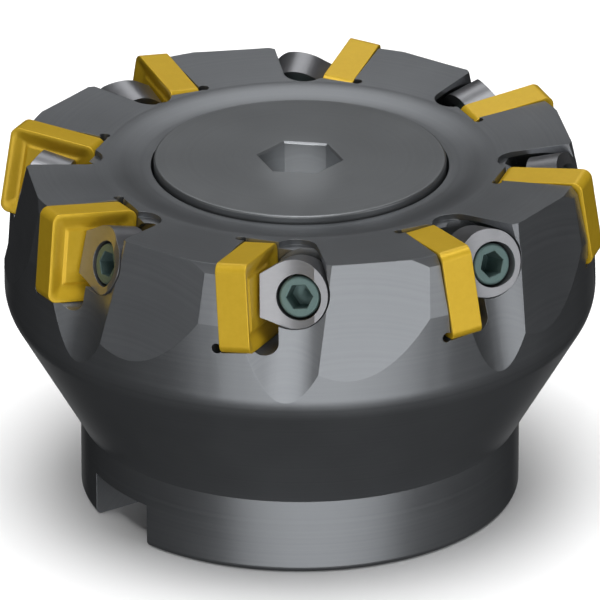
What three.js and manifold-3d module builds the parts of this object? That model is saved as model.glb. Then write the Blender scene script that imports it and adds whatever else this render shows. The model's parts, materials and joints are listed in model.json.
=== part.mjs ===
// Indexable face mill, 4 inch (101.6 mm) cutting diameter, with eight square inserts.
// Each insert lies in a pocket and is held by a round-bodied wedge and a clamping screw.
//
// Frame: millimetres, +Z towards the cutting face, origin at the centre of the hub's back face.
// The drive slot runs along X, and the insert corners lie at azimuths 0, 45, 90 ... degrees.
// Everything on a tooth is laid out in the tooth's own frame: X radial through the insert's
// cutting corner, Y tangential in the anticlockwise direction, Z along the cutter's axis.
import * as THREE from 'three';
import { mergeVertices } from 'three/addons/utils/BufferGeometryUtils.js';
import Module from 'manifold-3d';

const wasm = await Module();
wasm.setup();

const INCH = 25.4;
const DEGREE = Math.PI / 180;
const FIT_GAP = 0.3;        // clearance between pieces that touch on the real cutter
const OVERCUT = 30;         // how far a cutting tool runs past the surface it opens

// Whole cutter
const CUTTER_DIAMETER = 4 * INCH;
const CUTTER_HEIGHT = 2.5 * INCH;
const TEETH = 8;

// Body of revolution
const HUB_RADIUS = 38.6;
const HUB_EDGE_ROUND = 1.2;
const HUB_TOP = 13.7;
const CONE_ANGLE = 30 * DEGREE;       // of the underside, from the axis
const RIM_RADIUS = 51.75;
const RIM_BLEND = 9;                  // radius between the cone and the rim
const FLARE_BOTTOM = 52.2;
const FLARE_TOP = 61.0;
const FLARE_TOP_RADIUS = 50.1;
const FACE_HEIGHT = CUTTER_HEIGHT - 1.0;
const FACE_RADIUS = 49.0;
const FACE_FALL = 1.0;                // of the conical face, from its outer edge to the dish
const DISH_OUTER = 34.5;
const DISH_INNER = 26.6;
const DISH_DEPTH = 1.0;
const BODY_SEGMENTS = 64;

// Arbor interface
const BORE_RADIUS = 0.75 * INCH;
const BORE_CHAMFER = 0.8;
const COUNTERBORE_RADIUS = 26.0;
const COUNTERBORE_FLOOR = 48.0;
const DRIVE_SLOT_WIDTH = 0.625 * INCH;
const DRIVE_SLOT_DEPTH = 0.3125 * INCH;

// Insert
const INSERT_SIZE = 0.625 * INCH;
const INSERT_THICKNESS = 0.21875 * INCH;
const INSERT_CORNER = 1.6;
const LEAD = 7 * DEGREE;
const AXIAL_RAKE = 5.7 * DEGREE;
const RADIAL_RAKE = 9.1 * DEGREE;
const CORNER_OUTSET = 0.5;            // sharp corner of the square, outside the cutting radius
const CORNER_ABOVE = 0.18;            // and above the cutter's height
const LAND = 0.4;                     // flat border of each face
const CHIP_GROOVE = 0.7;              // depth of the groove inside the land
const PLATEAU = 0.5;                  // depth of the raised middle

// Pocket
const POCKET_FRONT = 3.4;             // open width in front of the rake face
const TOE_RADIUS = 1.9;               // of the rounded floor in front of the insert
const TOE_RISE = 0.96;                // of that round's centre, above the insert's lower edge
const RELIEF_RADIUS = 0.9;
const RELIEF_INSET = 0.8;             // of the relief holes, along the back wall from its corners
const RELIEF_BEHIND = 0.7;            // and behind the back wall

// Chip gullet: an inclined round groove, with a slot that runs inwards from it
const GULLET_RADIUS = 14.4;
const GULLET_TILT = 15 * DEGREE;
const GULLET_AZIMUTH = -2 * DEGREE;
const GULLET_AXIS = new THREE.Vector3(63.0, 8.9, 50);
const SLOT_AZIMUTH = 20 * DEGREE;
const SLOT_END = new THREE.Vector2(37.6, 6.2);
const SLOT_END_RADIUS = 3.7;
const SLOT_END_FLOOR = 60.5;

// Wedge and clamping screw: the screw's axis meets the wedge's front plane at CLAMP_POINT,
// and is square to the gullet's groove
const CLAMP_POINT = new THREE.Vector3(46.9, 8.35, 56.5);
const CLAMP_AZIMUTH = -2.9 * DEGREE;
const CLAMP_RISE = GULLET_TILT;
const WEDGE_RADIUS = 6.0;
const WEDGE_CENTRE = new THREE.Vector2(-0.8, 0.45);   // of the round body, from the screw's axis
const WEDGE_LENGTH = 6.5;
const NOSE_REACH = 7.5;               // from the screw's axis, before it is cut along the rake face
const NOSE_TOP = 3.5;
const NOSE_BOTTOM = -3.3;
const WEDGE_HOLE_RADIUS = 4.0;
const WEDGE_BORE_RADIUS = 6.5;
const WEDGE_BORE_DEPTH = 10.3;
const SCREW_RADIUS = 3.6;
const SCREW_LENGTH = 14.5;
const SCREW_RECESS = 1.0;
const SCREW_CHAMFER = 0.5;
const SCREW_SOCKET = 4.0;             // across flats
const SCREW_SOCKET_DEPTH = 5.0;
const SCREW_SOCKET_TURN = 4 * DEGREE;

// Flat relief on each tooth, square to the slot
const FACET_DISTANCE = 47.7;          // from the axis, at the cutting face
const FACET_LEAN = 11.4 * DEGREE;

// Lock screw
const LOCK_HEAD_RADIUS = 25.5;
const LOCK_HEAD_TOP = 61.8;
const LOCK_EDGE = 0.4;
const LOCK_SHANK_RADIUS = 0.375 * INCH;
const LOCK_SHANK_END = 8.0;
const LOCK_SHANK_CHAMFER = 1.2;
const LOCK_SOCKET = 0.5 * INCH;
const LOCK_SOCKET_DEPTH = 8.0;
const LOCK_SOCKET_TURN = 17 * DEGREE;

const STEEL = new THREE.MeshStandardMaterial({ color: 0x8d9093, roughness: 0.38, metalness: 0.9 });
const DISC_STEEL = new THREE.MeshStandardMaterial({ color: 0x6c6e70, roughness: 0.42, metalness: 0.9 });
const WEDGE_STEEL = new THREE.MeshStandardMaterial({ color: 0xa6a7a9, roughness: 0.35, metalness: 0.85 });
const COATING = new THREE.MeshStandardMaterial({ color: 0xc8a432, roughness: 0.3, metalness: 0.85 });
const SCREW_FINISH = new THREE.MeshStandardMaterial({ color: 0x5f7674, roughness: 0.45, metalness: 0.7 });

// Cuts and joins -------------------------------------------------------------

function signedVolume(geometry) {
  const points = geometry.getAttribute('position');
  const index = geometry.getIndex();
  const corners = [new THREE.Vector3(), new THREE.Vector3(), new THREE.Vector3()];
  let volume = 0;
  for (let i = 0; i < index.count; i += 3) {
    corners.forEach((corner, j) => corner.fromBufferAttribute(points, index.getX(i + j)));
    volume += corners[0].dot(corners[1].cross(corners[2])) / 6;
  }
  return volume;
}

function toSolid(source, matrix = new THREE.Matrix4()) {
  const bare = source.clone().applyMatrix4(matrix);
  bare.deleteAttribute('normal');
  bare.deleteAttribute('uv');
  const merged = mergeVertices(bare, 1e-4);
  const triVerts = Uint32Array.from(merged.getIndex().array);
  if (signedVolume(merged) < 0) {
    for (let i = 0; i < triVerts.length; i += 3) {
      [triVerts[i], triVerts[i + 1]] = [triVerts[i + 1], triVerts[i]];
    }
  }
  const vertProperties = Float32Array.from(merged.getAttribute('position').array);
  return new wasm.Manifold(new wasm.Mesh({ numProp: 3, vertProperties, triVerts }));
}

function toGeometry(solid) {
  const mesh = solid.getMesh();
  const geometry = new THREE.BufferGeometry();
  geometry.setAttribute('position', new THREE.BufferAttribute(mesh.vertProperties, 3));
  geometry.setIndex(new THREE.BufferAttribute(mesh.triVerts, 1));
  geometry.computeVertexNormals();
  return geometry;
}

function joined(solids) {
  return solids.reduce((whole, solid) => whole.add(solid));
}

// Basic shapes, all with their axis or thickness along Z ----------------------

function rod(radius, bottom, top, segments = 32) {
  const geometry = new THREE.CylinderGeometry(radius, radius, top - bottom, segments);
  geometry.rotateX(Math.PI / 2);
  geometry.translate(0, 0, (top + bottom) / 2);
  return geometry;
}

// With one of its edges at the azimuth given
function hexPrism(acrossFlats, bottom, top, azimuth) {
  return rod(acrossFlats / Math.sqrt(3), bottom, top, 6).rotateZ(azimuth - Math.PI / 2);
}

function block(min, max) {
  const size = new THREE.Vector3().subVectors(max, min);
  const centre = new THREE.Vector3().addVectors(max, min).multiplyScalar(0.5);
  return new THREE.BoxGeometry(size.x, size.y, size.z).translate(centre.x, centre.y, centre.z);
}

function turned(profile, segments) {
  const geometry = new THREE.LatheGeometry(profile, segments);
  return geometry.rotateX(Math.PI / 2);
}

function arcPoints(centre, radius, from, to, steps) {
  return Array.from({ length: steps + 1 }, (_, i) => {
    const angle = from + (to - from) * i / steps;
    return new THREE.Vector2(centre.x + radius * Math.cos(angle), centre.y + radius * Math.sin(angle));
  });
}

// Frames on a tooth ------------------------------------------------------------

// X outwards along the insert's top edge, Y normal to the rake face, Z up its outer edge
function insertRotation() {
  const turn = new THREE.Matrix4().makeRotationZ(-RADIAL_RAKE);
  turn.multiply(new THREE.Matrix4().makeRotationX(AXIAL_RAKE));
  return turn.multiply(new THREE.Matrix4().makeRotationY(-LEAD));
}

// Origin at the square's sharp cutting corner, on the rake face
function rakeFrame() {
  const corner = new THREE.Vector3(CUTTER_DIAMETER / 2 + CORNER_OUTSET, 0, CUTTER_HEIGHT + CORNER_ABOVE);
  return new THREE.Matrix4().makeTranslation(corner.x, corner.y, corner.z).multiply(insertRotation());
}

// Origin on the screw's axis at the wedge's front plane, Z outwards along the axis,
// X away from the insert
function clampFrame() {
  const outward = new THREE.Vector3(
    Math.cos(CLAMP_RISE) * Math.cos(CLAMP_AZIMUTH),
    Math.cos(CLAMP_RISE) * Math.sin(CLAMP_AZIMUTH),
    Math.sin(CLAMP_RISE));
  const rakeNormal = new THREE.Vector3(0, 1, 0).transformDirection(insertRotation());
  const away = rakeNormal.addScaledVector(outward, -rakeNormal.dot(outward)).normalize();
  const up = new THREE.Vector3().crossVectors(outward, away);
  return new THREE.Matrix4().makeBasis(away, up, outward).setPosition(CLAMP_POINT);
}

function toothTurn(index) {
  return new THREE.Matrix4().makeRotationZ(index * 2 * Math.PI / TEETH);
}

const RAKE_FRAME = rakeFrame();
const CLAMP_FRAME = clampFrame();

// Insert -----------------------------------------------------------------------

function roundedSquare(half, radius, height) {
  const steps = 2;
  const ring = [];
  for (let quarter = 0; quarter < 4; quarter++) {
    const middle = (quarter + 0.5) * Math.PI / 2;
    const reach = (half - radius) * Math.SQRT2;
    const centre = new THREE.Vector2(reach * Math.cos(middle), reach * Math.sin(middle));
    const arc = arcPoints(centre, radius, middle - Math.PI / 4, middle + Math.PI / 4, steps);
    ring.push(...arc.map((p) => new THREE.Vector3(p.x, height, p.y)));
  }
  return ring;
}

function loft(rings) {
  const count = rings[0].length;
  const points = rings.flat();
  const index = [];
  for (let r = 0; r + 1 < rings.length; r++) {
    for (let i = 0; i < count; i++) {
      const j = (i + 1) % count;
      const [a, b, c, d] = [r * count + i, r * count + j, (r + 1) * count + j, (r + 1) * count + i];
      index.push(a, b, c, a, c, d);
    }
  }
  const last = (rings.length - 1) * count;
  for (let i = 1; i + 1 < count; i++) {
    index.push(0, i + 1, i, last, last + i, last + i + 1);
  }
  const geometry = new THREE.BufferGeometry().setFromPoints(points);
  geometry.setIndex(index);
  return geometry;
}

// Centre of the square at the origin, faces at plus and minus half the thickness along Y.
// Each face has a narrow land, a chip groove and a raised plateau.
function insertGeometry() {
  const half = INSERT_SIZE / 2;
  const face = [[3.6, PLATEAU], [3.1, CHIP_GROOVE], [1.9, CHIP_GROOVE], [LAND, 0]];    // inset, depth
  const ringAt = (inset, height) => roundedSquare(half - inset, Math.max(INSERT_CORNER - inset / 2, 0.4), height);
  const top = INSERT_THICKNESS / 2;
  const lower = face.map(([inset, depth]) => ringAt(inset, depth - top));
  const upper = face.map(([inset, depth]) => ringAt(inset, top - depth)).reverse();
  return toGeometry(toSolid(loft([...lower, ringAt(0, -top), ringAt(0, top), ...upper])));
}

function insertCentre() {
  const middle = new THREE.Vector3(-INSERT_SIZE / 2, -INSERT_THICKNESS / 2, -INSERT_SIZE / 2);
  return RAKE_FRAME.clone().multiply(new THREE.Matrix4().makeTranslation(middle.x, middle.y, middle.z));
}

// Wedge and its screw, in the clamp frame ----------------------------------------

// Angle, round the wedge's body, where a tangent from the nose corner meets it
function tangentAngle(corner, side) {
  const reach = corner.clone().sub(WEDGE_CENTRE);
  return reach.angle() + side * Math.acos(WEDGE_RADIUS / reach.length());
}

function wedgeOutline() {
  const upper = new THREE.Vector2(-NOSE_REACH, NOSE_TOP);
  const lower = new THREE.Vector2(-NOSE_REACH, NOSE_BOTTOM);
  const from = tangentAngle(lower, 1) - 2 * Math.PI;
  const body = arcPoints(WEDGE_CENTRE, WEDGE_RADIUS, from, tangentAngle(upper, -1), 14);
  return new THREE.Shape([...body, upper, lower]);
}

function behindRakeFace() {
  const low = new THREE.Vector3(-2 * INSERT_SIZE, -OVERCUT, -2 * INSERT_SIZE);
  const high = new THREE.Vector3(INSERT_SIZE, FIT_GAP, INSERT_SIZE);
  return toSolid(block(low, high), RAKE_FRAME);
}

function wedgeGeometry() {
  const blank = new THREE.ExtrudeGeometry(wedgeOutline(), { depth: WEDGE_LENGTH, bevelEnabled: false });
  blank.translate(0, 0, -WEDGE_LENGTH);
  const hole = toSolid(rod(WEDGE_HOLE_RADIUS, -OVERCUT, OVERCUT, 20), CLAMP_FRAME);
  const wedge = toSolid(blank, CLAMP_FRAME).subtract(hole).subtract(behindRakeFace()).subtract(gulletGroove());
  return toGeometry(wedge).applyMatrix4(CLAMP_FRAME.clone().invert());
}

function screwGeometry() {
  const top = -SCREW_RECESS;
  const bottom = top - SCREW_LENGTH;
  const neck = SCREW_RADIUS - SCREW_CHAMFER;
  const profile = [[0, bottom], [neck, bottom], [SCREW_RADIUS, bottom + SCREW_CHAMFER],
    [SCREW_RADIUS, top - SCREW_CHAMFER], [neck, top], [0, top]].map(([r, z]) => new THREE.Vector2(r, z));
  const socket = hexPrism(SCREW_SOCKET, top - SCREW_SOCKET_DEPTH, OVERCUT, SCREW_SOCKET_TURN);
  return toGeometry(toSolid(turned(profile, 16)).subtract(toSolid(socket)));
}

// Cuts in the body, for one tooth ---------------------------------------------------

function gulletGroove() {
  const lean = new THREE.Matrix4().makeRotationZ(GULLET_AZIMUTH);
  lean.multiply(new THREE.Matrix4().makeRotationY(-GULLET_TILT));
  const place = lean.setPosition(GULLET_AXIS);
  return toSolid(rod(GULLET_RADIUS, -OVERCUT, OVERCUT, 48), place);
}

// The slot's straight wall leaves its round end along SLOT_AZIMUTH
function gulletSlot() {
  const wall = new THREE.Vector2(Math.cos(SLOT_AZIMUTH), Math.sin(SLOT_AZIMUTH));
  const side = new THREE.Vector2(-wall.y, wall.x).multiplyScalar(SLOT_END_RADIUS);
  const start = SLOT_END.clone().add(side);
  const finish = start.clone().addScaledVector(wall, OVERCUT);
  const outline = new THREE.Shape([start, finish, new THREE.Vector2(finish.x, 0), new THREE.Vector2(SLOT_END.x, 0)]);
  const height = CUTTER_HEIGHT - CLAMP_POINT.z + FIT_GAP;
  const slot = new THREE.ExtrudeGeometry(outline, { depth: height, bevelEnabled: false });
  slot.translate(0, 0, CLAMP_POINT.z);
  const end = rod(SLOT_END_RADIUS, SLOT_END_FLOOR, CUTTER_HEIGHT + FIT_GAP, 24);
  end.translate(SLOT_END.x, SLOT_END.y, 0);
  return toSolid(slot).add(toSolid(end));
}

function wedgeBore() {
  const bore = rod(WEDGE_BORE_RADIUS, -WEDGE_BORE_DEPTH, OVERCUT, 28);
  bore.translate(WEDGE_CENTRE.x, WEDGE_CENTRE.y, 0);
  const depth = SCREW_RECESS + SCREW_LENGTH + FIT_GAP;
  const screwHole = rod(SCREW_RADIUS + FIT_GAP, -depth, 0, 16);
  return toSolid(bore, CLAMP_FRAME).add(toSolid(screwHole, CLAMP_FRAME));
}

// Room for the insert, and the open space in front of it with its rounded floor
function insertPocket() {
  const low = new THREE.Vector3(-INSERT_SIZE - FIT_GAP, -INSERT_THICKNESS - FIT_GAP, -INSERT_SIZE - FIT_GAP);
  const seat = block(low, new THREE.Vector3(OVERCUT, FIT_GAP, OVERCUT));
  const toe = new THREE.Vector3(low.x, POCKET_FRONT - TOE_RADIUS, TOE_RISE - INSERT_SIZE);
  const front = block(new THREE.Vector3(low.x, 0, toe.z), new THREE.Vector3(OVERCUT, POCKET_FRONT, OVERCUT));
  const floor = rod(TOE_RADIUS, low.x, OVERCUT, 20).rotateY(Math.PI / 2);
  floor.translate(0, toe.y, toe.z);
  const behind = low.y - RELIEF_BEHIND;
  const upright = rod(RELIEF_RADIUS, low.z, OVERCUT, 12);
  upright.translate(low.x + RELIEF_INSET, behind, 0);
  const lying = rod(RELIEF_RADIUS, low.x, OVERCUT, 12).rotateY(Math.PI / 2);
  lying.translate(0, behind, low.z + RELIEF_INSET);
  return joined([seat, front, floor, upright, lying].map((shape) => toSolid(shape, RAKE_FRAME)));
}

function toothFacet() {
  const size = 2 * CUTTER_DIAMETER;
  const slab = block(new THREE.Vector3(0, -size, -size), new THREE.Vector3(OVERCUT, size, size));
  const place = new THREE.Matrix4().makeRotationZ(SLOT_AZIMUTH);
  place.multiply(new THREE.Matrix4().makeTranslation(FACET_DISTANCE, 0, FACE_HEIGHT));
  place.multiply(new THREE.Matrix4().makeRotationY(-FACET_LEAN));
  const lowest = new THREE.Vector3(0, -size, HUB_TOP + 2 * INSERT_SIZE - OVERCUT);
  const above = block(lowest, new THREE.Vector3(size, size, size));
  return toSolid(slab, place).intersect(toSolid(above));
}

function toothCuts() {
  return joined([insertPocket(), wedgeBore(), gulletGroove(), gulletSlot(), toothFacet()]);
}

// Body ---------------------------------------------------------------------------------

// Smooth dish between the lock screw and the cutting face, from the outside inwards
function dishPoints(steps = 6) {
  return Array.from({ length: steps + 1 }, (_, i) => {
    const along = i / steps;
    const drop = FACE_FALL + DISH_DEPTH * (1 - Math.cos(Math.PI * along)) / 2;
    return new THREE.Vector2(DISH_OUTER + (DISH_INNER - DISH_OUTER) * along, FACE_HEIGHT - drop);
  });
}

function rimBlendPoints() {
  const coneTop = HUB_TOP + (RIM_RADIUS - HUB_RADIUS) / Math.tan(CONE_ANGLE);
  const reach = RIM_BLEND * Math.tan(CONE_ANGLE / 2);
  const centre = new THREE.Vector2(RIM_RADIUS - RIM_BLEND, coneTop + reach);
  return arcPoints(centre, RIM_BLEND, -CONE_ANGLE, 0, 5);
}

function bodyProfile() {
  const edge = new THREE.Vector2(HUB_RADIUS - HUB_EDGE_ROUND, HUB_EDGE_ROUND);
  const corner = (r, z) => new THREE.Vector2(r, z);
  const profile = [
    corner(BORE_RADIUS + BORE_CHAMFER, 0),
    ...arcPoints(edge, HUB_EDGE_ROUND, -Math.PI / 2, 0, 3),
    corner(HUB_RADIUS, HUB_TOP),
    ...rimBlendPoints(),
    corner(RIM_RADIUS, FLARE_BOTTOM),
    corner(FLARE_TOP_RADIUS, FLARE_TOP),
    corner(FACE_RADIUS, FACE_HEIGHT),
    ...dishPoints(),
    corner(COUNTERBORE_RADIUS, FACE_HEIGHT - FACE_FALL - DISH_DEPTH),
    corner(COUNTERBORE_RADIUS, COUNTERBORE_FLOOR),
    corner(BORE_RADIUS, COUNTERBORE_FLOOR),
    corner(BORE_RADIUS, BORE_CHAMFER),
  ];
  return [...profile, profile[0].clone()];
}

function driveSlot() {
  const half = DRIVE_SLOT_WIDTH / 2;
  const low = new THREE.Vector3(-CUTTER_DIAMETER, -half, -OVERCUT);
  const high = new THREE.Vector3(CUTTER_DIAMETER, half, DRIVE_SLOT_DEPTH);
  return toSolid(block(low, high));
}

function bodyGeometry() {
  const cuts = toothCuts();
  const copies = Array.from({ length: TEETH }, (_, i) => {
    const turn = toothTurn(i);
    return cuts.transform(turn.elements);
  });
  const blank = toSolid(turned(bodyProfile(), BODY_SEGMENTS));
  return toGeometry(blank.subtract(joined(copies)).subtract(driveSlot()));
}

// Lock screw: flanged disc head with a hexagon socket, and a plain shank for its thread ----

function lockScrewGeometry() {
  const under = COUNTERBORE_FLOOR + FIT_GAP;
  const edge = LOCK_HEAD_RADIUS - LOCK_EDGE;
  const tip = LOCK_SHANK_RADIUS - LOCK_SHANK_CHAMFER;
  const profile = [[0, LOCK_SHANK_END], [tip, LOCK_SHANK_END],
    [LOCK_SHANK_RADIUS, LOCK_SHANK_END + LOCK_SHANK_CHAMFER], [LOCK_SHANK_RADIUS, under],
    [LOCK_HEAD_RADIUS, under], [LOCK_HEAD_RADIUS, LOCK_HEAD_TOP - LOCK_EDGE],
    [edge, LOCK_HEAD_TOP], [0, LOCK_HEAD_TOP]].map(([r, z]) => new THREE.Vector2(r, z));
  const floor = LOCK_HEAD_TOP - LOCK_SOCKET_DEPTH;
  const socket = hexPrism(LOCK_SOCKET, floor, LOCK_HEAD_TOP + OVERCUT, LOCK_SOCKET_TURN);
  return toGeometry(toSolid(turned(profile, BODY_SEGMENTS)).subtract(toSolid(socket)));
}

// Assembly -----------------------------------------------------------------------------------

function piece(name, geometry, material, placement = new THREE.Matrix4()) {
  const mesh = new THREE.Mesh(geometry, material);
  mesh.name = name;
  placement.decompose(mesh.position, mesh.quaternion, mesh.scale);
  return mesh;
}

function toothGroup(number, shapes) {
  const tooth = new THREE.Group();
  tooth.rotation.z = (number - 1) * 2 * Math.PI / TEETH;
  tooth.add(piece(`insert_${number}`, shapes.insert, COATING, insertCentre()));
  tooth.add(piece(`clamp_wedge_${number}`, shapes.wedge, WEDGE_STEEL, CLAMP_FRAME));
  tooth.add(piece(`clamp_screw_${number}`, shapes.screw, SCREW_FINISH, CLAMP_FRAME));
  return tooth;
}

const faceMill = new THREE.Group();
faceMill.add(piece('cutter_body', bodyGeometry(), STEEL));
faceMill.add(piece('lock_screw', lockScrewGeometry(), DISC_STEEL));
const toothShapes = { insert: insertGeometry(), wedge: wedgeGeometry(), screw: screwGeometry() };
for (let number = 1; number <= TEETH; number++) {
  faceMill.add(toothGroup(number, toothShapes));
}

export default faceMill;
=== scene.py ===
import json
import math

import bmesh
import bpy
from mathutils import Matrix, Vector

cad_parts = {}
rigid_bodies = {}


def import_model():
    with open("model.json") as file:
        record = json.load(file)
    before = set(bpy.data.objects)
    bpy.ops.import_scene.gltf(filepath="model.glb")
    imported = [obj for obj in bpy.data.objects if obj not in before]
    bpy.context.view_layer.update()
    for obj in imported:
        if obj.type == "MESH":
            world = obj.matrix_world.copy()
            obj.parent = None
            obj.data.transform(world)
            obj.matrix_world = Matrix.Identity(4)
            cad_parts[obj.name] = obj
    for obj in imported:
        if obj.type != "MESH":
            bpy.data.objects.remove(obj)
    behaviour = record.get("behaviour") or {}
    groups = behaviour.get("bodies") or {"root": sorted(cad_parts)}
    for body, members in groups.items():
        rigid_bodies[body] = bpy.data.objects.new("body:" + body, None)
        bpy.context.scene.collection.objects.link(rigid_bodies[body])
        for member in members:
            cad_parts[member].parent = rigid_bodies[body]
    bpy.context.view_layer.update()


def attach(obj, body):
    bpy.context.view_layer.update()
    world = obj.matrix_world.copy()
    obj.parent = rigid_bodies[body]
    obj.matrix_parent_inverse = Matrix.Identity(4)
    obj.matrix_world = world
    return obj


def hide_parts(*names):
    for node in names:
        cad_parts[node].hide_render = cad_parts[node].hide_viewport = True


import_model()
SCENE = bpy.context.scene

# ---------------------------------------------------------------- camera, in metres

VIEW_AZIMUTH = math.radians(-124.5)    # of the camera, from +X
VIEW_ELEVATION = math.radians(24.4)
VIEW_DISTANCE = 1.753
AIM = Vector((0, 0, 0.0345))


def direction(azimuth, elevation):
    flat = math.cos(elevation)
    return Vector((flat * math.cos(azimuth), flat * math.sin(azimuth), math.sin(elevation)))


def look_at(obj, place, target):
    obj.location = place
    obj.rotation_euler = (target - place).to_track_quat("-Z", "Y").to_euler()


def make_camera():
    data = bpy.data.cameras.new("camera")
    data.lens = 600
    data.sensor_width = 36
    data.clip_start = 0.05
    data.clip_end = 60
    camera = bpy.data.objects.new("camera", data)
    SCENE.collection.objects.link(camera)
    look_at(camera, AIM + VIEW_DISTANCE * direction(VIEW_AZIMUTH, VIEW_ELEVATION), AIM)
    SCENE.camera = camera


make_camera()

# ---------------------------------------------------------------- dimensions, in millimetres

MM = 0.001
TEETH = 8
OVERCUT = 30
CLEAR_ABOVE = 1

CUTTER_DIAMETER = 101.6
CUTTER_HEIGHT = 63.5

HUB_RADIUS = 38.6
HUB_EDGE_ROUND = 1.2
HUB_TOP = 13.7
CONE_ANGLE = math.radians(30)
RIM_RADIUS = 51.75
RIM_BLEND = 9
FLARE_BOTTOM = 52.2
FLARE_TOP = 61.0
FLARE_TOP_RADIUS = 50.1
FACE_HEIGHT = 62.5
FACE_RADIUS = 49.0
FACE_FALL = 1.0
DISH_OUTER = 34.5
DISH_INNER = 26.6
DISH_DEPTH = 1.0

BORE_RADIUS = 19.05
BORE_CHAMFER = 0.8
COUNTERBORE_RADIUS = 26.0
COUNTERBORE_FLOOR = 48.0
DRIVE_SLOT_HALF = 7.9375
DRIVE_SLOT_DEPTH = 7.9375

INSERT_SIZE = 15.875
INSERT_THICKNESS = 5.556
INSERT_CORNER = 1.6
INSERT_HONE = 0.14
LAND = 0.35
GROOVE_WIDTH = 2.8
CHIP_GROOVE = 0.9
PLATEAU = 0.6
PLATEAU_STEP = 0.6
SMALLEST_CORNER = 0.4
LEAD = math.radians(7)
AXIAL_RAKE = math.radians(5.7)
RADIAL_RAKE = math.radians(9.1)
CORNER_OUTSET = 0.5
CORNER_ABOVE = 0.18

POCKET_GAP = 0.08
POCKET_FRONT = 3.4
TOE_RADIUS = 1.9
TOE_RISE = 0.96
RELIEF_RADIUS = 0.9
RELIEF_INSET = 0.8
RELIEF_BEHIND = 0.7

GULLET_RADIUS = 14.4
GULLET_TILT = math.radians(15)
GULLET_AZIMUTH = math.radians(-2)
GULLET_AXIS = Vector((63.0, 8.9, 50))
SLOT_AZIMUTH = math.radians(20)
SLOT_END = Vector((37.6, 6.2))
SLOT_END_RADIUS = 3.7
SLOT_END_FLOOR = 60.5
FACET_DISTANCE = 47.7
FACET_LEAN = math.radians(11.4)
FACET_BOTTOM = 15.45

CLAMP_POINT = Vector((46.9, 8.35, 56.5))
CLAMP_AZIMUTH = math.radians(-2.9)
CLAMP_RISE = GULLET_TILT
WEDGE_RADIUS = 6.0
WEDGE_CENTRE = Vector((-0.8, 0.45))
WEDGE_LENGTH = 6.5
HOLLOW_RADIUS = 16.0
HOLLOW_DEPTH = 0.86
HOLLOW_MIDDLE = -2.35
NOSE_GAP = 0.05
NOSE_REACH = 7.5
NOSE_TOP = 3.5
NOSE_BOTTOM = -3.3
WEDGE_HOLE_RADIUS = 4.0
WEDGE_BORE_RADIUS = 6.35
WEDGE_BORE_RAISE = 0.27
WEDGE_BORE_DEPTH = 10.3
SCREW_RADIUS = 3.6
SCREW_LENGTH = 14.5
SCREW_RECESS = 1.0
SCREW_GAP = 0.3
SCREW_SOCKET = 4.0
SCREW_SOCKET_DEPTH = 5.0
SCREW_SOCKET_TURN = math.radians(4)
SCREW_PITCH = 1.0
SCREW_THREAD_DEPTH = 0.45
SCREW_HEAD = 2.2
SCREW_EDGE = 0.45
SCREW_SHOULDER = 0.5
SCREW_OVERLAP = 0.4
SCREW_END_CHAMFER = 0.9

LOCK_HEAD_RADIUS = 25.5
LOCK_HEAD_TOP = 61.8
LOCK_HEAD_UNDER = 48.3
LOCK_EDGE = 0.4
LOCK_UNDER_CHAMFER = 0.5
LOCK_SHANK_RADIUS = 9.525
LOCK_SHANK_END = 8.0
LOCK_SHANK_CHAMFER = 1.2
LOCK_PITCH = 25.4 / 16
LOCK_THREAD_DEPTH = 0.85
LOCK_NECK = 3
LOCK_OVERLAP = 1
LOCK_SOCKET = 12.7
LOCK_SOCKET_DEPTH = 8.0
LOCK_SOCKET_TURN = math.radians(17)

# ---------------------------------------------------------------- fineness of the meshes

# Corners on a full turn
LARGE_ROUND = 256
GULLET_ROUND = 192
ROUND = 96
SCREW_ROUND = 64
SMALL_ROUND = 48

# Steps on one arc or curve
DISH_STEPS = 28
RIM_STEPS = 14
HUB_EDGE_STEPS = 20
CORNER_STEPS = 16
GROOVE_STEPS = 12
PLATEAU_STEPS = 6
HONE_STEPS = 4
WEDGE_STEPS = 64
EDGE_STEPS = 6
THREAD_STEPS = 8

# Corners closer than this, in millimetres, become one
BODY_WELD = 0.01
PIECE_WELD = 0.004

# Edges that turn by more than this, in degrees, stay sharp
BODY_SHARP = 6
WEDGE_SHARP = 12
PIECE_SHARP = 30

# ---------------------------------------------------------------- mesh tools


def mesh_object(name, points, faces):
    mesh = bpy.data.meshes.new(name)
    mesh.from_pydata([tuple(p) for p in points], [], faces)
    tidy = bmesh.new()
    tidy.from_mesh(mesh)
    bmesh.ops.recalc_face_normals(tidy, faces=tidy.faces)
    tidy.to_mesh(mesh)
    tidy.free()
    obj = bpy.data.objects.new(name, mesh)
    SCENE.collection.objects.link(obj)
    return obj


def grid_faces(rows, columns, closed_rows):
    faces = []
    for r in range(rows if closed_rows else rows - 1):
        above = (r + 1) % rows
        for c in range(columns):
            d = (c + 1) % columns
            faces.append((r * columns + c, r * columns + d, above * columns + d, above * columns + c))
    return faces


def stacked(name, rings, closed=False):
    """A skin over rings of equal count; open stacks are capped with a flat face at each end."""
    columns = len(rings[0])
    points = [p for ring in rings for p in ring]
    faces = grid_faces(len(rings), columns, closed)
    if not closed:
        last = (len(rings) - 1) * columns
        faces += [tuple(range(columns)), tuple(range(last, last + columns))]
    return mesh_object(name, points, faces)


def ring_at(radius, height, segments):
    step = 2 * math.pi / segments
    angles = [i * step for i in range(segments)]
    return [Vector((radius * math.cos(a), radius * math.sin(a), height)) for a in angles]


def lathe(name, profile, segments, closed=False):
    return stacked(name, [ring_at(r, z, segments) for r, z in profile], closed)


def rod(radius, bottom, top, segments=ROUND):
    return lathe("rod", [(radius, bottom), (radius, top)], segments)


def prism(outline, bottom, top):
    return stacked("prism", [[Vector((x, y, z)) for x, y in outline] for z in (bottom, top)])


def block(low, high):
    outline = [(low[0], low[1]), (high[0], low[1]), (high[0], high[1]), (low[0], high[1])]
    return prism(outline, low[2], high[2])


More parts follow.
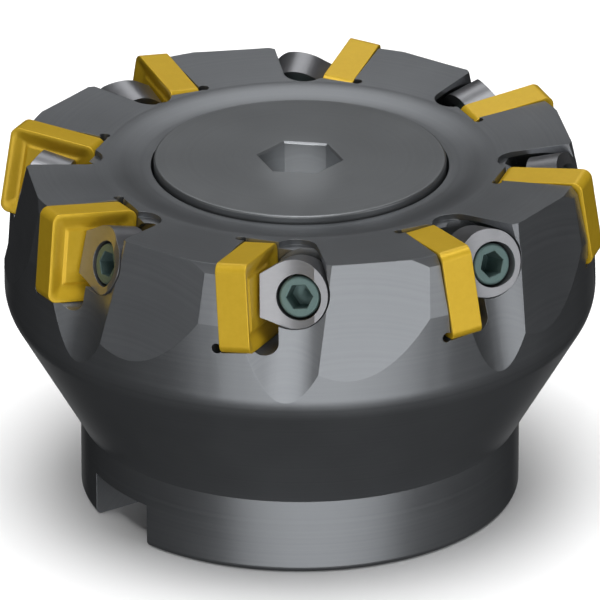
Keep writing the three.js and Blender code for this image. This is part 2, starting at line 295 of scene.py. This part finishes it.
def hexagon(across_flats, azimuth):
    reach = across_flats / math.sqrt(3)
    angles = [azimuth + i * math.pi / 3 for i in range(6)]
    return [(reach * math.cos(a), reach * math.sin(a)) for a in angles]


def arc(centre, radius, start, end, steps):
    angles = [start + (end - start) * i / steps for i in range(steps + 1)]
    return [(centre[0] + radius * math.cos(a), centre[1] + radius * math.sin(a)) for a in angles]


def placed(obj, matrix):
    obj.data.transform(matrix)
    return obj


def apply_modifiers(obj):
    graph = bpy.context.evaluated_depsgraph_get()
    old = obj.data
    mesh = bpy.data.meshes.new_from_object(obj.evaluated_get(graph))
    obj.modifiers.clear()
    obj.data = mesh
    bpy.data.meshes.remove(old)
    return obj


def combined(target, tool, operation, keep=False):
    modifier = target.modifiers.new("boolean", "BOOLEAN")
    modifier.operation = operation
    modifier.solver = "MANIFOLD"
    modifier.object = tool
    apply_modifiers(target)
    if not keep:
        bpy.data.objects.remove(tool)
    return target


def cut(target, *tools):
    for tool in tools:
        combined(target, tool, "DIFFERENCE")
    return target


def joined(first, *others):
    for other in others:
        combined(first, other, "UNION")
    return first


def welded(obj, distance):
    tidy = bmesh.new()
    tidy.from_mesh(obj.data)
    bmesh.ops.remove_doubles(tidy, verts=tidy.verts, dist=distance)
    bmesh.ops.dissolve_degenerate(tidy, edges=tidy.edges, dist=distance)
    tidy.to_mesh(obj.data)
    tidy.free()
    return obj


def shaded(obj, sharp_angle):
    mesh = obj.data
    mesh.shade_smooth()
    mesh.set_sharp_from_angle(angle=sharp_angle)
    modifier = obj.modifiers.new("normals", "WEIGHTED_NORMAL")
    modifier.keep_sharp = True
    modifier.weight = 80
    return apply_modifiers(obj)


# ---------------------------------------------------------------- frames on a tooth


def turn(angle, axis):
    return Matrix.Rotation(angle, 4, axis)


def insert_rotation():
    return turn(-RADIAL_RAKE, "Z") @ turn(AXIAL_RAKE, "X") @ turn(-LEAD, "Y")


def rake_frame():
    corner = Vector((CUTTER_DIAMETER / 2 + CORNER_OUTSET, 0, CUTTER_HEIGHT + CORNER_ABOVE))
    return Matrix.Translation(corner) @ insert_rotation()


def clamp_frame():
    outward = direction(CLAMP_AZIMUTH, CLAMP_RISE)
    normal = insert_rotation() @ Vector((0, 1, 0))
    away = (normal - normal.dot(outward) * outward).normalized()
    basis = Matrix((away, outward.cross(away), outward)).transposed()
    return Matrix.Translation(CLAMP_POINT) @ basis.to_4x4()


def tooth_turn(number):
    return turn((number - 1) * 2 * math.pi / TEETH, "Z")


RAKE_FRAME = rake_frame()
CLAMP_FRAME = clamp_frame()

# ---------------------------------------------------------------- body


def smooth_step(t):
    return (1 - math.cos(math.pi * t)) / 2


def dish_points():
    points = []
    for i in range(DISH_STEPS + 1):
        along = i / DISH_STEPS
        drop = FACE_FALL + DISH_DEPTH * smooth_step(along)
        points.append((DISH_OUTER + (DISH_INNER - DISH_OUTER) * along, FACE_HEIGHT - drop))
    return points


def rim_blend_points():
    cone_top = HUB_TOP + (RIM_RADIUS - HUB_RADIUS) / math.tan(CONE_ANGLE)
    centre = (RIM_RADIUS - RIM_BLEND, cone_top + RIM_BLEND * math.tan(CONE_ANGLE / 2))
    return arc(centre, RIM_BLEND, -CONE_ANGLE, 0, RIM_STEPS)


def body_profile():
    edge = (HUB_RADIUS - HUB_EDGE_ROUND, HUB_EDGE_ROUND)
    dish_floor = FACE_HEIGHT - FACE_FALL - DISH_DEPTH
    return [
        (BORE_RADIUS + BORE_CHAMFER, 0),
        *arc(edge, HUB_EDGE_ROUND, -math.pi / 2, 0, HUB_EDGE_STEPS),
        (HUB_RADIUS, HUB_TOP),
        *rim_blend_points(),
        (RIM_RADIUS, FLARE_BOTTOM),
        (FLARE_TOP_RADIUS, FLARE_TOP),
        (FACE_RADIUS, FACE_HEIGHT),
        *dish_points(),
        (COUNTERBORE_RADIUS, dish_floor),
        (COUNTERBORE_RADIUS, COUNTERBORE_FLOOR),
        (BORE_RADIUS, COUNTERBORE_FLOOR),
        (BORE_RADIUS, BORE_CHAMFER),
    ]


def gullet_groove():
    place = turn(GULLET_AZIMUTH, "Z") @ turn(-GULLET_TILT, "Y")
    place.translation = GULLET_AXIS
    return placed(rod(GULLET_RADIUS, -OVERCUT, OVERCUT, GULLET_ROUND), place)


def gullet_slot():
    wall = Vector((math.cos(SLOT_AZIMUTH), math.sin(SLOT_AZIMUTH)))
    start = SLOT_END + SLOT_END_RADIUS * Vector((-wall.y, wall.x))
    finish = start + OVERCUT * wall
    outline = [tuple(start), tuple(finish), (finish.x, 0), (SLOT_END.x, 0)]
    slot = prism(outline, CLAMP_POINT.z, CUTTER_HEIGHT + CLEAR_ABOVE)
    end = rod(SLOT_END_RADIUS, SLOT_END_FLOOR, CUTTER_HEIGHT + 2 * CLEAR_ABOVE)
    placed(end, Matrix.Translation((SLOT_END.x, SLOT_END.y, 0)))
    return slot, end


def wedge_bore():
    bore = rod(WEDGE_BORE_RADIUS, -WEDGE_BORE_DEPTH, OVERCUT)
    placed(bore, Matrix.Translation((WEDGE_CENTRE.x, WEDGE_CENTRE.y + WEDGE_BORE_RAISE, 0)))
    depth = SCREW_RECESS + SCREW_LENGTH + SCREW_GAP
    screw_hole = rod(SCREW_RADIUS + SCREW_GAP, -depth, 0)
    return placed(bore, CLAMP_FRAME), placed(screw_hole, CLAMP_FRAME)


def insert_pocket():
    along_x = turn(math.pi / 2, "Y")
    low = Vector((-INSERT_SIZE - POCKET_GAP, -INSERT_THICKNESS - POCKET_GAP, -INSERT_SIZE - POCKET_GAP))
    seat = block(low, (OVERCUT, POCKET_GAP, OVERCUT))
    toe = Vector((low.x, POCKET_FRONT - TOE_RADIUS, TOE_RISE - INSERT_SIZE))
    front = block((low.x, 0, toe.z), (OVERCUT, POCKET_FRONT, OVERCUT))
    toe_round = rod(TOE_RADIUS, low.x, OVERCUT)
    placed(toe_round, Matrix.Translation((0, toe.y, toe.z)) @ along_x)
    behind = low.y - RELIEF_BEHIND
    upright = rod(RELIEF_RADIUS, low.z, OVERCUT)
    placed(upright, Matrix.Translation((low.x + RELIEF_INSET, behind, 0)))
    lying = rod(RELIEF_RADIUS, low.x, OVERCUT)
    placed(lying, Matrix.Translation((0, behind, low.z + RELIEF_INSET)) @ along_x)
    return [placed(shape, RAKE_FRAME) for shape in (seat, front, toe_round, upright, lying)]


def tooth_facet():
    size = 2 * CUTTER_DIAMETER
    slab = block((0, -size, -size), (OVERCUT, size, size))
    place = turn(SLOT_AZIMUTH, "Z") @ Matrix.Translation((FACET_DISTANCE, 0, FACE_HEIGHT))
    placed(slab, place @ turn(-FACET_LEAN, "Y"))
    above = block((0, -size, FACET_BOTTOM), (size, size, size))
    return combined(slab, above, "INTERSECT")


def tooth_cuts():
    return joined(gullet_groove(), *gullet_slot(), *wedge_bore(), *insert_pocket(), tooth_facet())


def drive_slot():
    low = (-CUTTER_DIAMETER, -DRIVE_SLOT_HALF, -OVERCUT)
    return block(low, (CUTTER_DIAMETER, DRIVE_SLOT_HALF, DRIVE_SLOT_DEPTH))


def body_piece():
    body = lathe("cutter_body_skin", body_profile(), LARGE_ROUND, closed=True)
    cuts = tooth_cuts()
    for number in range(1, TEETH + 1):
        combined(body, cuts, "DIFFERENCE", keep=True)
        cuts.data.transform(turn(2 * math.pi / TEETH, "Z"))
    bpy.data.objects.remove(cuts)
    return welded(cut(body, drive_slot()), BODY_WELD)


# ---------------------------------------------------------------- insert


def rounded_square(half, radius, height):
    ring = []
    for quarter in range(4):
        middle = (quarter + 0.5) * math.pi / 2
        reach = (half - radius) * math.sqrt(2)
        centre = (reach * math.cos(middle), reach * math.sin(middle))
        for x, z in arc(centre, radius, middle - math.pi / 4, middle + math.pi / 4, CORNER_STEPS):
            ring.append(Vector((x, height, z)))
    return ring


def face_profile():
    """Inset from the flank and depth below the face, from the plateau out to the flank."""
    width = GROOVE_WIDTH - LAND
    rise = CHIP_GROOVE - PLATEAU
    points = []
    for i in range(PLATEAU_STEPS):
        along = i / PLATEAU_STEPS
        points.append((GROOVE_WIDTH + PLATEAU_STEP * (1 - along), PLATEAU + rise * smooth_step(along)))
    for i in range(GROOVE_STEPS + 1):
        along = i / GROOVE_STEPS
        points.append((GROOVE_WIDTH - width * along, CHIP_GROOVE * (1 - smooth_step(along))))
    for i in range(HONE_STEPS + 1):
        angle = math.pi / 2 * i / HONE_STEPS
        points.append((INSERT_HONE * (1 - math.sin(angle)), INSERT_HONE * (1 - math.cos(angle))))
    return points


def insert_piece(number):
    half = INSERT_SIZE / 2
    top = INSERT_THICKNESS / 2

    def ring(inset, height):
        return rounded_square(half - inset, max(INSERT_CORNER - inset / 2, SMALLEST_CORNER), height)

    lower = [ring(inset, depth - top) for inset, depth in face_profile()]
    upper = [ring(inset, top - depth) for inset, depth in reversed(face_profile())]
    piece = stacked(f"insert_skin_{number}", lower + upper)
    middle = Matrix.Translation((-half, -top, -half))
    return placed(piece, RAKE_FRAME @ middle)


# ---------------------------------------------------------------- wedge and screws


def tangent_angle(corner, side):
    reach = Vector(corner) - WEDGE_CENTRE
    return math.atan2(reach.y, reach.x) % (2 * math.pi) + side * math.acos(WEDGE_RADIUS / reach.length)


def wedge_outline():
    upper = (-NOSE_REACH, NOSE_TOP)
    lower = (-NOSE_REACH, NOSE_BOTTOM)
    start = tangent_angle(lower, 1) - 2 * math.pi
    finish = tangent_angle(upper, -1)
    return arc(WEDGE_CENTRE, WEDGE_RADIUS, start, finish, WEDGE_STEPS) + [upper, lower]


def behind_rake_face():
    low = (-2 * INSERT_SIZE, -OVERCUT, -2 * INSERT_SIZE)
    return placed(block(low, (INSERT_SIZE, NOSE_GAP, INSERT_SIZE)), RAKE_FRAME)


def wedge_piece(number):
    wedge = prism(wedge_outline(), -WEDGE_LENGTH, 0)
    wedge.name = f"clamp_wedge_skin_{number}"
    hollow = placed(rod(HOLLOW_RADIUS, -OVERCUT, OVERCUT, LARGE_ROUND), turn(math.pi / 2, "X"))
    placed(hollow, Matrix.Translation((HOLLOW_MIDDLE, 0, HOLLOW_RADIUS - HOLLOW_DEPTH)))
    cut(wedge, rod(WEDGE_HOLE_RADIUS, -OVERCUT, OVERCUT), hollow)
    placed(wedge, CLAMP_FRAME)
    return welded(cut(wedge, behind_rake_face()), PIECE_WELD)


def thread_form(phase):
    """Height of a thread at a share of its pitch: 0 along its root and 1 along its crest."""
    flank_slope = 2.6
    flank_start = 0.8
    return min(1, max(0, flank_slope * abs(2 * phase - 1) - flank_start))


def threaded_rod(radius, pitch, depth, bottom, top, segments, chamfer):
    """A rod with a helical thread that gets shallower at both ends."""
    count = int((top - bottom) / pitch * THREAD_STEPS)
    tip_radius = radius - depth - 0.4 * chamfer
    rings = [ring_at(tip_radius, bottom, segments)]
    for row in range(count + 1):
        z = bottom + chamfer / 2 + (top - bottom - chamfer) * row / count
        full_depth = min(1, (z - bottom) / chamfer, (top - z) / chamfer)
        ring = []
        for i, point in enumerate(ring_at(1, z, segments)):
            phase = (z / pitch - i / segments) % 1
            reach = radius - depth + depth * thread_form(phase) * math.sqrt(full_depth)
            ring.append(Vector((reach * point.x, reach * point.y, z)))
        rings.append(ring)
    rings.append(ring_at(radius - depth, top, segments))
    return stacked("threaded", rings)


def socket_cut(across_flats, floor, top, azimuth):
    """A hexagon socket with a narrow chamfer at its mouth and a drilled point at its floor."""
    chamfer = 0.025 * across_flats
    drill_radius = 0.425 * across_flats
    drill_tip = 0.2 * across_flats
    tip_radius = 0.01
    overlap = 0.2
    levels = [
        (across_flats, floor),
        (across_flats, top - chamfer),
        (across_flats + 6 * chamfer, top + 2 * chamfer),
    ]
    rings = []
    for width, z in levels:
        rings.append([Vector((x, y, z)) for x, y in hexagon(width, azimuth)])
    point = [(tip_radius, floor - drill_tip), (drill_radius, floor), (drill_radius, floor + overlap)]
    return joined(stacked("socket", rings), lathe("point", point, SMALL_ROUND))


def screw_piece(number):
    top = -SCREW_RECESS
    bottom = top - SCREW_LENGTH
    head_end = top - SCREW_HEAD
    under = head_end - SCREW_OVERLAP
    edge = (SCREW_RADIUS - SCREW_EDGE, top - SCREW_EDGE)
    head = lathe(f"clamp_screw_skin_{number}", [
        (SCREW_RADIUS - SCREW_SHOULDER, under),
        (SCREW_RADIUS, under + SCREW_SHOULDER),
        *arc(edge, SCREW_EDGE, 0, math.pi / 2, EDGE_STEPS),
    ], SCREW_ROUND)
    shank = threaded_rod(SCREW_RADIUS, SCREW_PITCH, SCREW_THREAD_DEPTH, bottom, head_end, SMALL_ROUND,
                         SCREW_END_CHAMFER)
    joined(head, shank)
    cut(head, socket_cut(SCREW_SOCKET, top - SCREW_SOCKET_DEPTH, top, SCREW_SOCKET_TURN))
    return placed(welded(head, PIECE_WELD), CLAMP_FRAME)


def lock_screw_piece():
    edge = (LOCK_HEAD_RADIUS - LOCK_EDGE, LOCK_HEAD_TOP - LOCK_EDGE)
    head = lathe("lock_screw_skin", [
        (LOCK_HEAD_RADIUS - LOCK_UNDER_CHAMFER, LOCK_HEAD_UNDER),
        (LOCK_HEAD_RADIUS, LOCK_HEAD_UNDER + LOCK_UNDER_CHAMFER),
        *arc(edge, LOCK_EDGE, 0, math.pi / 2, EDGE_STEPS),
    ], LARGE_ROUND)
    thread_end = LOCK_HEAD_UNDER - LOCK_NECK
    shank = threaded_rod(LOCK_SHANK_RADIUS, LOCK_PITCH, LOCK_THREAD_DEPTH, LOCK_SHANK_END, thread_end, ROUND,
                         LOCK_SHANK_CHAMFER)
    neck = rod(LOCK_SHANK_RADIUS - LOCK_THREAD_DEPTH, thread_end - LOCK_OVERLAP,
               LOCK_HEAD_UNDER + LOCK_OVERLAP)
    joined(head, shank, neck)
    cut(head, socket_cut(LOCK_SOCKET, LOCK_HEAD_TOP - LOCK_SOCKET_DEPTH, LOCK_HEAD_TOP, LOCK_SOCKET_TURN))
    return welded(head, PIECE_WELD)


# ---------------------------------------------------------------- materials

# A pattern between these two levels goes from a material's first value to its second
PATTERN_LOW = 0.3
PATTERN_HIGH = 0.7

# In metres
ROUNDED_EDGE = 0.00012
GRAIN_HEIGHT = 0.000004
MARK_HEIGHT = 0.000007

BUMP_STRENGTH = 0.6
GRAIN_SCALE = 2600
CLOUD_SCALE = 60
MARK_SHARE = 0.45      # of the machining marks in the colour, against the cloud's


def linear(value):
    level = value / 255
    return level / 12.92 if level <= 0.04045 else ((level + 0.055) / 1.055) ** 2.4


def colour(red, green, blue):
    return (linear(red), linear(green), linear(blue), 1)


class Nodes:
    """Short calls for building one material's node tree."""

    def __init__(self, name):
        self.material = bpy.data.materials.new(name)
        self.material.use_nodes = True
        self.tree = self.material.node_tree
        self.shader = self.tree.nodes["Principled BSDF"]

    def link(self, source, target):
        self.tree.links.new(source, target)

    def node(self, kind, **inputs):
        node = self.tree.nodes.new(kind)
        for name, value in inputs.items():
            self.feed(node.inputs[name.replace("_", " ")], value)
        return node

    def feed(self, socket, value):
        if isinstance(value, bpy.types.NodeSocket):
            self.link(value, socket)
        else:
            socket.default_value = value

    def math(self, operation, *values):
        node = self.tree.nodes.new("ShaderNodeMath")
        node.operation = operation
        for socket, value in zip(node.inputs, values):
            self.feed(socket, value)
        return node.outputs[0]

    def position(self):
        return self.tree.nodes.new("ShaderNodeTexCoord").outputs["Object"]

    def noise(self, vector, scale, detail=3, roughness=0.5):
        node = self.node("ShaderNodeTexNoise", Vector=vector, Scale=scale, Detail=detail, Roughness=roughness)
        return node.outputs["Fac"]

    def stretched(self, vector, scale):
        node = self.node("ShaderNodeMapping", Vector=vector, Scale=scale)
        return node.outputs["Vector"]

    def ring_coordinate(self, vector):
        """Distance from the axis plus height: constant along every turned mark."""
        parts = self.node("ShaderNodeSeparateXYZ", Vector=vector).outputs
        square = self.math("ADD", self.math("MULTIPLY", parts["X"], parts["X"]),
                           self.math("MULTIPLY", parts["Y"], parts["Y"]))
        return self.math("ADD", self.math("SQRT", square), parts["Z"])

    def ring_noise(self, vector, scale):
        node = self.tree.nodes.new("ShaderNodeTexNoise")
        node.noise_dimensions = "1D"
        self.feed(node.inputs["W"], self.ring_coordinate(vector))
        node.inputs["Scale"].default_value = scale
        node.inputs["Detail"].default_value = 3
        return node.outputs["Fac"]

    def mixed(self, factor, first, second):
        ramp = self.tree.nodes.new("ShaderNodeValToRGB")
        ramp.color_ramp.elements[0].position = PATTERN_LOW
        ramp.color_ramp.elements[0].color = first
        ramp.color_ramp.elements[1].position = PATTERN_HIGH
        ramp.color_ramp.elements[1].color = second
        self.feed(ramp.inputs["Fac"], factor)
        return ramp.outputs["Color"]

    def ranged(self, value, low, high):
        node = self.node("ShaderNodeMapRange", Value=value)
        node.inputs["From Min"].default_value = PATTERN_LOW
        node.inputs["From Max"].default_value = PATTERN_HIGH
        node.inputs["To Min"].default_value = low
        node.inputs["To Max"].default_value = high
        return node.outputs["Result"]

    def bump(self, height, distance, under):
        node = self.node("ShaderNodeBump", Height=height, Distance=distance, Normal=under)
        node.inputs["Strength"].default_value = BUMP_STRENGTH
        return node.outputs["Normal"]

    def rounded_edges(self, radius):
        node = self.tree.nodes.new("ShaderNodeBevel")
        node.samples = 6
        node.inputs["Radius"].default_value = radius
        return node.outputs["Normal"]


def metal(name, dark, light, metallic, rough, marks):
    """Bare or coated metal: marks is called with the tree and the place and gives a pattern, 0 to 1."""
    nodes = Nodes(name)
    place = nodes.position()
    pattern = marks(nodes, place)
    cloud = nodes.noise(place, CLOUD_SCALE, detail=4, roughness=0.6)
    blend = nodes.math("ADD", nodes.math("MULTIPLY", pattern, MARK_SHARE),
                       nodes.math("MULTIPLY", cloud, 1 - MARK_SHARE))
    nodes.link(nodes.mixed(blend, colour(*dark), colour(*light)), nodes.shader.inputs["Base Color"])
    nodes.link(nodes.ranged(blend, *rough), nodes.shader.inputs["Roughness"])
    nodes.shader.inputs["Metallic"].default_value = metallic
    rounded = nodes.rounded_edges(ROUNDED_EDGE)
    grain = nodes.noise(place, GRAIN_SCALE, detail=2)
    fine = nodes.bump(grain, GRAIN_HEIGHT, rounded)
    nodes.link(nodes.bump(pattern, MARK_HEIGHT, fine), nodes.shader.inputs["Normal"])
    return nodes.material


def turned_marks(nodes, place):
    return nodes.ring_noise(place, scale=1500)


def ground_marks(nodes, place):
    return nodes.noise(nodes.stretched(place, (500, 500, 1600)), scale=1, detail=2)


def pitted_marks(nodes, place):
    return nodes.noise(place, scale=900, roughness=0.6)


def make_materials():
    return {
        "body": metal("turned_steel", dark=(142, 145, 149), light=(152, 155, 159),
                      metallic=0.8, rough=(0.33, 0.4), marks=turned_marks),
        "disc": metal("lock_steel", dark=(151, 154, 157), light=(159, 162, 165),
                      metallic=0.8, rough=(0.33, 0.4), marks=turned_marks),
        "wedge": metal("wedge_steel", dark=(157, 158, 162), light=(169, 170, 174),
                       metallic=0.8, rough=(0.32, 0.4), marks=ground_marks),
        "coat": metal("gold_coating", dark=(226, 184, 40), light=(236, 196, 52),
                      metallic=0.3, rough=(0.34, 0.42), marks=pitted_marks),
        "screw": metal("screw_finish", dark=(104, 128, 126), light=(118, 143, 141),
                       metallic=0.55, rough=(0.4, 0.5), marks=pitted_marks),
    }


MATERIALS = make_materials()

# ---------------------------------------------------------------- assembly


def dress(obj, cad_node, sharp_angle, material):
    shaded(obj, math.radians(sharp_angle))
    obj.data.transform(Matrix.Scale(MM, 4))
    obj.data.materials.clear()      # cutting leaves an empty material behind
    obj.data.materials.append(MATERIALS[material])
    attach(obj, cad_node)
    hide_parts(cad_node)


def make_tooth(number):
    shapes = (
        (insert_piece, "insert", "insert_coating", PIECE_SHARP, "coat"),
        (wedge_piece, "clamp_wedge", "wedge_steel", WEDGE_SHARP, "wedge"),
        (screw_piece, "clamp_screw", "screw_black_oxide", PIECE_SHARP, "screw"),
    )
    for build, node, slot, sharp_angle, material in shapes:
        piece = placed(build(number), tooth_turn(number))
        dress(piece, f"{node}_{number}", sharp_angle, material)


dress(body_piece(), "cutter_body", BODY_SHARP, "body")
dress(lock_screw_piece(), "lock_screw", PIECE_SHARP, "disc")
for tooth in range(1, TEETH + 1):
    make_tooth(tooth)

# ---------------------------------------------------------------- stage and light, in metres

FLOOR_HALF = 12
FLOOR_THICKNESS = 0.05
FLOOR_DARKER = (0.86, 0.86, 0.86, 1)
FLOOR_LIGHTER = (0.88, 0.88, 0.88, 1)
LIGHT_DISTANCE = 1.3
SOCKET_LIGHT_DISTANCE = 0.9
SOCKET_LIGHT_ELEVATION = math.radians(28)
INSERT_LIGHT_ELEVATION = math.radians(68)
FLOOR_LIGHT_HEIGHT = 2.5

# Name, azimuth from the camera's and elevation in degrees, width, height, power
OBJECT_LIGHTS = (
    ("front_low", 8, -14, 2.1, 0.75, 8.2),
    ("front", -6, 13, 1.1, 0.7, 2.9),
    ("right", 60, 10, 0.8, 0.6, 2.2),
    ("left", -58, 12, 0.5, 0.5, 0.7),
    ("top", 0, 80, 0.8, 0.8, 5.2),
    ("back_high", 180, 49, 0.8, 0.5, 1.9),
    ("back_low", 180, -34, 0.9, 0.5, 0.4),
)

# Share of the way from straight down to straight up, and how bright the surroundings are there
SKY_LEVELS = ((0.0, 0.004), (0.46, 0.007), (0.6, 0.018), (0.8, 0.05), (1.0, 0.1))
SKY_BLUE = 1.02


def make_floor():
    floor = block((-FLOOR_HALF, -FLOOR_HALF, -FLOOR_THICKNESS), (FLOOR_HALF, FLOOR_HALF, 0))
    floor.name = "floor"
    nodes = Nodes("floor_paint")
    place = nodes.position()
    paint = nodes.mixed(nodes.noise(place, scale=3), FLOOR_DARKER, FLOOR_LIGHTER)
    nodes.link(paint, nodes.shader.inputs["Base Color"])
    nodes.shader.inputs["Roughness"].default_value = 0.9
    floor.data.materials.append(nodes.material)
    floor.visible_glossy = False
    floor.visible_diffuse = False
    floor.visible_shadow = False
    return floor


def make_light(name, place, target, width, height, power):
    data = bpy.data.lights.new(name, "AREA")
    data.shape = "RECTANGLE"
    data.size = width
    data.size_y = height
    data.energy = power
    light = bpy.data.objects.new(name, data)
    SCENE.collection.objects.link(light)
    look_at(light, place, target)
    return light


def make_socket_light():
    """A narrow spot that reaches the far wall of the lock screw's hexagon socket."""
    data = bpy.data.lights.new("socket_light", "SPOT")
    data.spot_size = math.radians(1)
    data.spot_blend = 1.0
    data.shadow_soft_size = 0.002
    data.energy = 62
    light = bpy.data.objects.new(data.name, data)
    SCENE.collection.objects.link(light)
    target = Vector((0, 0, (LOCK_HEAD_TOP - LOCK_SOCKET_DEPTH / 3) * MM))
    toward = direction(VIEW_AZIMUTH, SOCKET_LIGHT_ELEVATION)
    look_at(light, target + SOCKET_LIGHT_DISTANCE * toward, target)
    return light


def only_on(light, objects):
    group = bpy.data.collections.new(light.name + "_receivers")
    for obj in objects:
        group.objects.link(obj)
    light.light_linking.receiver_collection = group


def make_world():
    world = bpy.data.worlds.new("studio")
    SCENE.world = world
    world.use_nodes = True
    tree = world.node_tree
    background = tree.nodes["Background"]
    place = tree.nodes.new("ShaderNodeTexCoord")
    parts = tree.nodes.new("ShaderNodeSeparateXYZ")
    ramp = tree.nodes.new("ShaderNodeValToRGB")
    shift = tree.nodes.new("ShaderNodeMapRange")
    shift.inputs["From Min"].default_value = -1
    tree.links.new(place.outputs["Generated"], parts.inputs[0])
    tree.links.new(parts.outputs["Z"], shift.inputs["Value"])
    tree.links.new(shift.outputs["Result"], ramp.inputs["Fac"])
    tree.links.new(ramp.outputs["Color"], background.inputs["Color"])
    elements = ramp.color_ramp.elements
    for position, _ in SKY_LEVELS[1:-1]:
        elements.new(position)
    for element, (position, level) in zip(elements, SKY_LEVELS):
        element.position = position
        element.color = (level, level, level * SKY_BLUE, 1)


def make_lights(floor):
    for name, azimuth, elevation, width, height, power in OBJECT_LIGHTS:
        toward = direction(VIEW_AZIMUTH + math.radians(azimuth), math.radians(elevation))
        make_light(name, AIM + LIGHT_DISTANCE * toward, AIM, width, height, power)
    overhead = Vector((0, 0, FLOOR_LIGHT_HEIGHT))
    floor_light = make_light("floor_light", overhead, Vector((0, 0, 0)), width=3, height=3, power=104)
    only_on(floor_light, [floor])
    place = AIM + LIGHT_DISTANCE * direction(VIEW_AZIMUTH, INSERT_LIGHT_ELEVATION)
    insert_light = make_light("insert_light", place, AIM, width=0.8, height=0.8, power=5)
    only_on(insert_light, [obj for obj in SCENE.objects if obj.name.startswith("insert_skin")])
    only_on(make_socket_light(), [SCENE.objects["lock_screw_skin"]])


make_lights(make_floor())
make_world()
SCENE.view_settings.view_transform = "Standard"
